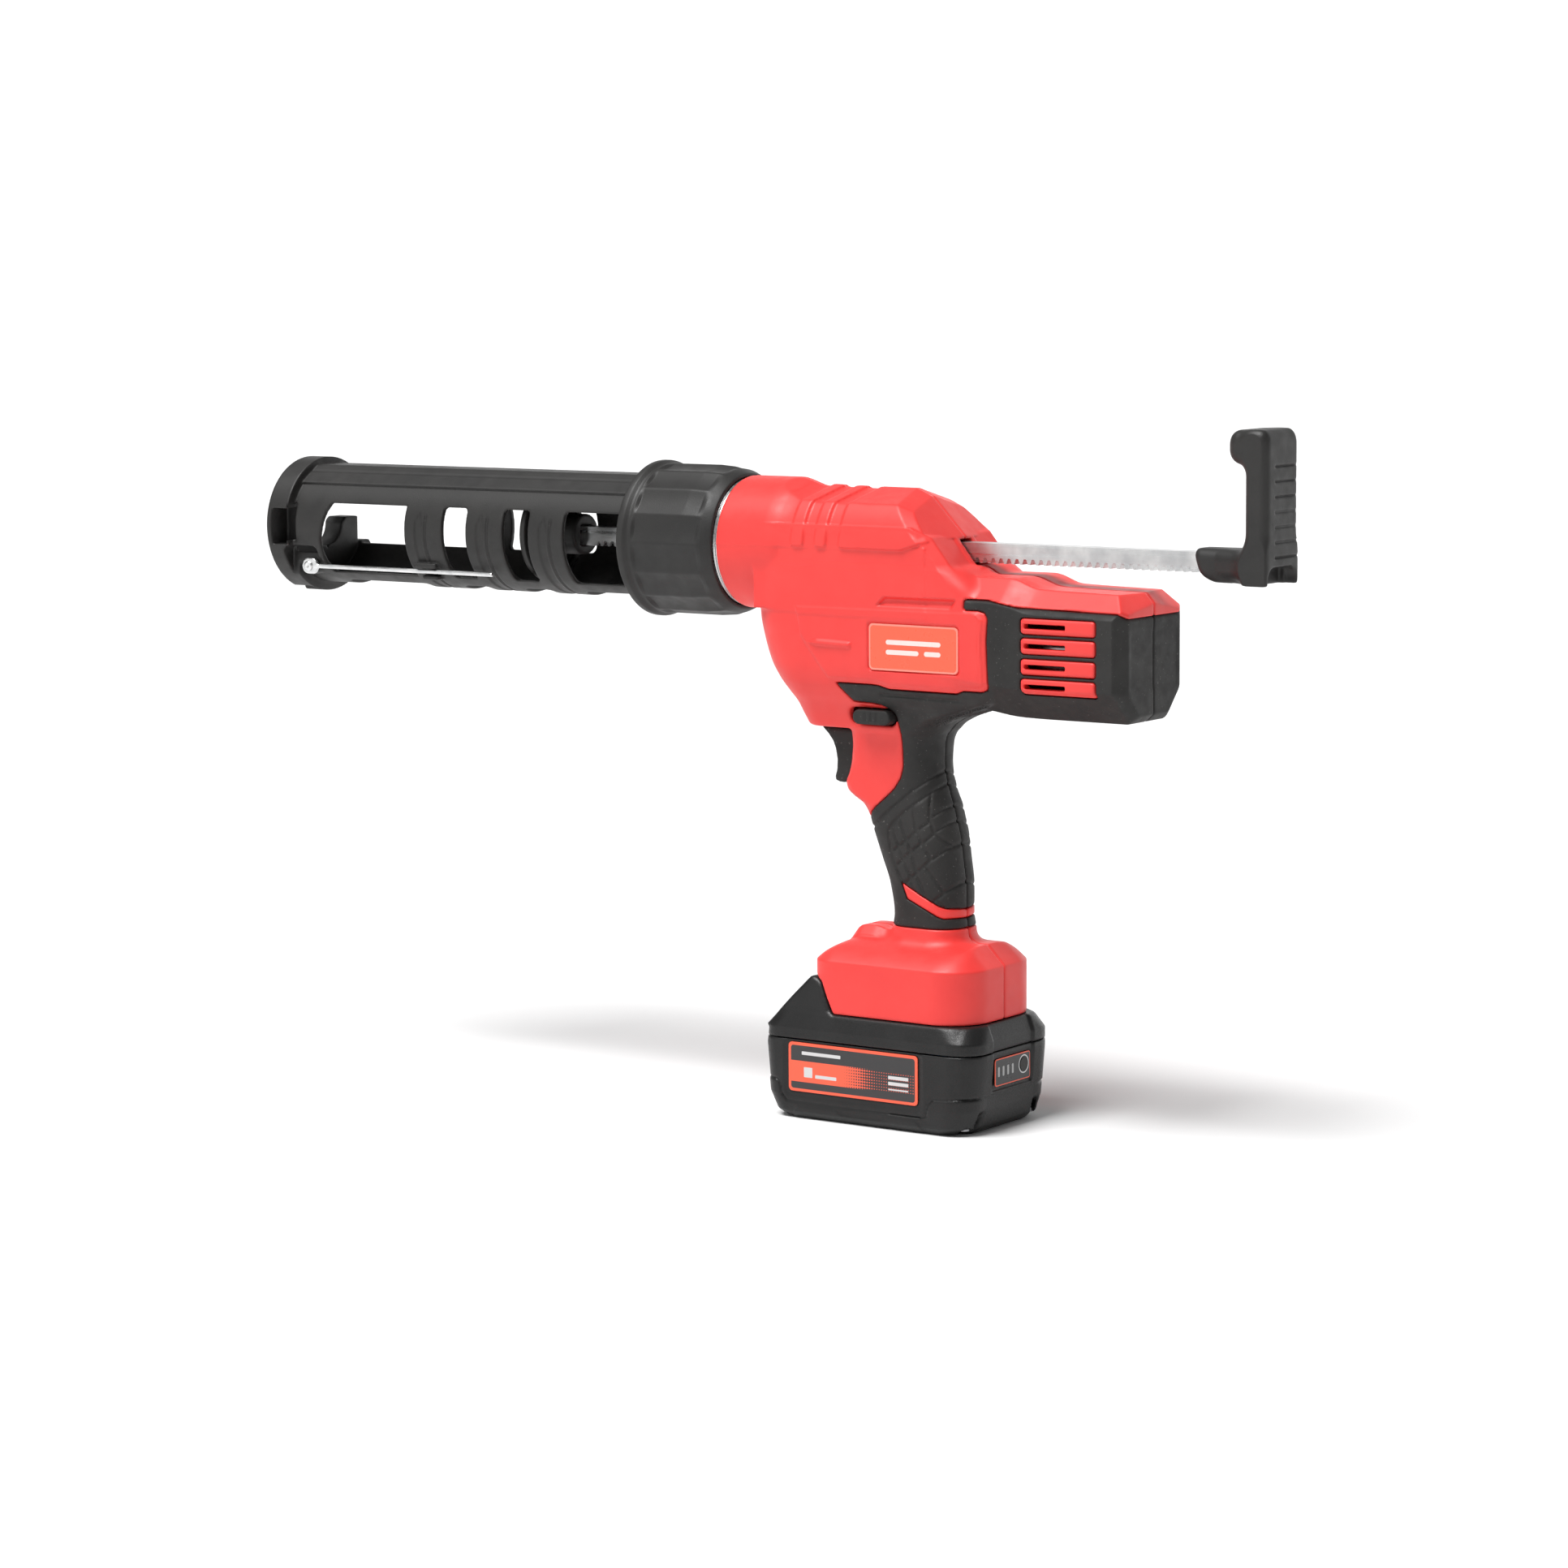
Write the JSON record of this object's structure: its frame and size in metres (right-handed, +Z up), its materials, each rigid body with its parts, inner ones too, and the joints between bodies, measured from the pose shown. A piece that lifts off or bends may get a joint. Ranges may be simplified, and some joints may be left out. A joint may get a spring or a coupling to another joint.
{
  "type": "caulking gun",
  "caption": "Cordless caulking gun: pistol-grip body with a rack drive, open swivelling cartridge holder, screw-on lock ring, pull handle and slide-on battery.",
  "frame": {"origin": "Centre of the battery's underside, on the surface that the tool stands on.", "axes": "-X is the nose, where the cartridge's nozzle points; +X is the rear, where the rack is pulled out; -Y is the tool's left side; +Z is up."},
  "size_m": [0.5655, 0.0752, 0.328],
  "materials": {
    "red_shell": "moulded, fine satin grain",
    "soft_grip": "soft overmould, fine matt grain",
    "badge": "printed foil with a satin lacquer",
    "black_plastic": "glass-filled nylon, fine grain",
    "battery_plastic": "spark-textured black plastic",
    "zinc_steel": "bright zinc plate",
    "gear_steel": "oiled steel",
    "circuit_board": "green solder mask",
    "cell_wrap": "blue shrink sleeve"
  },
  "bodies": {
    "tool": {"housing_left": "red_shell", "housing_right": "red_shell", "overmould_left": "soft_grip", "overmould_right": "soft_grip", "side_badge_left": "badge", "side_badge_right": "badge", "housing_screw_1": "gear_steel", "housing_screw_2": "gear_steel", "housing_screw_3": "gear_steel", "housing_screw_4": "gear_steel", "housing_screw_5": "gear_steel", "housing_screw_6": "gear_steel", "threaded_ring": "zinc_steel", "rack_guide_front": "black_plastic", "rack_guide_rear": "black_plastic", "gear_plate_left": "zinc_steel", "gear_plate_right": "zinc_steel", "pinion_bearing_left": "gear_steel", "pinion_bearing_right": "gear_steel", "lay_bearing_left": "gear_steel", "lay_bearing_right": "gear_steel", "gearbox_case": "gear_steel", "motor_can": "zinc_steel", "switch_module": "black_plastic", "control_board": "circuit_board", "terminal_block": "black_plastic"},
    "rack": {"rack": "zinc_steel", "pull_handle": "black_plastic", "handle_pin": "zinc_steel", "piston": "black_plastic", "piston_pin": "zinc_steel"},
    "pinion": {"rack_pinion": "zinc_steel", "spur_wheel": "gear_steel", "pinion_shaft": "zinc_steel"},
    "lay_shaft": {"lay_shaft": "zinc_steel", "crown_gear": "gear_steel"},
    "gearbox_output": {"output_pinion": "zinc_steel"},
    "motor_rotor": {"motor_shaft": "zinc_steel", "cooling_fan": "black_plastic"},
    "trigger": {"trigger": "soft_grip"},
    "direction_lever": {"direction_lever": "soft_grip"},
    "lock_ring": {"lock_ring": "black_plastic"},
    "cartridge_holder": {"cartridge_holder": "black_plastic", "needle_rivet": "zinc_steel"},
    "seal_needle": {"seal_needle": "zinc_steel"},
    "battery": {"battery_case": "battery_plastic", "battery_lid": "battery_plastic", "cell_pack": "cell_wrap", "battery_board": "circuit_board", "gauge_panel": "badge", "battery_label_left": "badge", "battery_label_right": "badge", "battery_screw_1": "gear_steel", "battery_screw_2": "gear_steel", "battery_screw_3": "gear_steel", "battery_screw_4": "gear_steel"},
    "release_button": {"release_button": "red_shell"},
    "gauge_button": {"gauge_button": "black_plastic"}
  },
  "joints": [
    {"name": "rack_slide", "type": "slide", "parent": "tool", "child": "rack", "axis": [1, 0, 0], "range_m": [-0.116, 0.06]},
    {"name": "pinion_turn", "type": "hinge", "parent": "tool", "child": "pinion", "pos_m": [-0.02, 0, 0.25614], "axis": [0, 1, 0], "range_deg": [-810.7, 419.8]},
    {"name": "lay_turn", "type": "hinge", "parent": "tool", "child": "lay_shaft", "pos_m": [-0.01077, 0, 0.223], "axis": [0, 1, 0], "range_deg": [-1082.9, 2092.7]},
    {"name": "output_turn", "type": "hinge", "parent": "tool", "child": "gearbox_output", "pos_m": [0.02, 0, 0.223], "axis": [1, 0, 0], "range_deg": [-3092.2, 5977.4]},
    {"name": "motor_turn", "type": "hinge", "parent": "tool", "child": "motor_rotor", "pos_m": [0.1, 0, 0.223], "axis": [1, 0, 0], "range_deg": [-12366, 23906.6]},
    {"name": "trigger_pull", "type": "slide", "parent": "tool", "child": "trigger", "axis": [1, 0, 0], "range_m": [0, 0.006], "stiffness_N_per_m": 900, "springref_m": -0.002},
    {"name": "lever_shift", "type": "slide", "parent": "tool", "child": "direction_lever", "axis": [-1, 0, 0], "range_m": [0, 0.004]},
    {"name": "lock_ring_turn", "type": "hinge", "parent": "tool", "child": "lock_ring", "pos_m": [-0.115, 0, 0.2685], "axis": [1, 0, 0], "continuous": true},
    {"name": "holder_swivel", "type": "hinge", "parent": "tool", "child": "cartridge_holder", "pos_m": [-0.24, 0, 0.2685], "axis": [1, 0, 0], "continuous": true},
    {"name": "needle_swing", "type": "hinge", "parent": "cartridge_holder", "child": "seal_needle", "pos_m": [-0.344, -0.0252, 0.2488], "axis": [0, 1, 0], "range_deg": [0, 120]},
    {"name": "battery_slide", "type": "slide", "parent": "tool", "child": "battery", "axis": [-1, 0, 0], "range_m": [0, 0.09]},
    {"name": "release_press", "type": "slide", "parent": "battery", "child": "release_button", "axis": [0.6, 0, -0.8], "range_m": [0, 0.0022], "stiffness_N_per_m": 800, "springref_m": -0.002},
    {"name": "gauge_press", "type": "slide", "parent": "battery", "child": "gauge_button", "axis": [-1, 0, 0], "range_m": [0, 0.0008], "stiffness_N_per_m": 800, "springref_m": -0.001}
  ],
  "couplings": [
    {"joint": "pinion_turn", "follows": "rack_slide", "rad_per_m": 121.77},
    {"joint": "lay_turn", "follows": "rack_slide", "rad_per_m": -314.57},
    {"joint": "output_turn", "follows": "rack_slide", "rad_per_m": -898.76},
    {"joint": "motor_turn", "follows": "rack_slide", "rad_per_m": -3595}
  ]
}
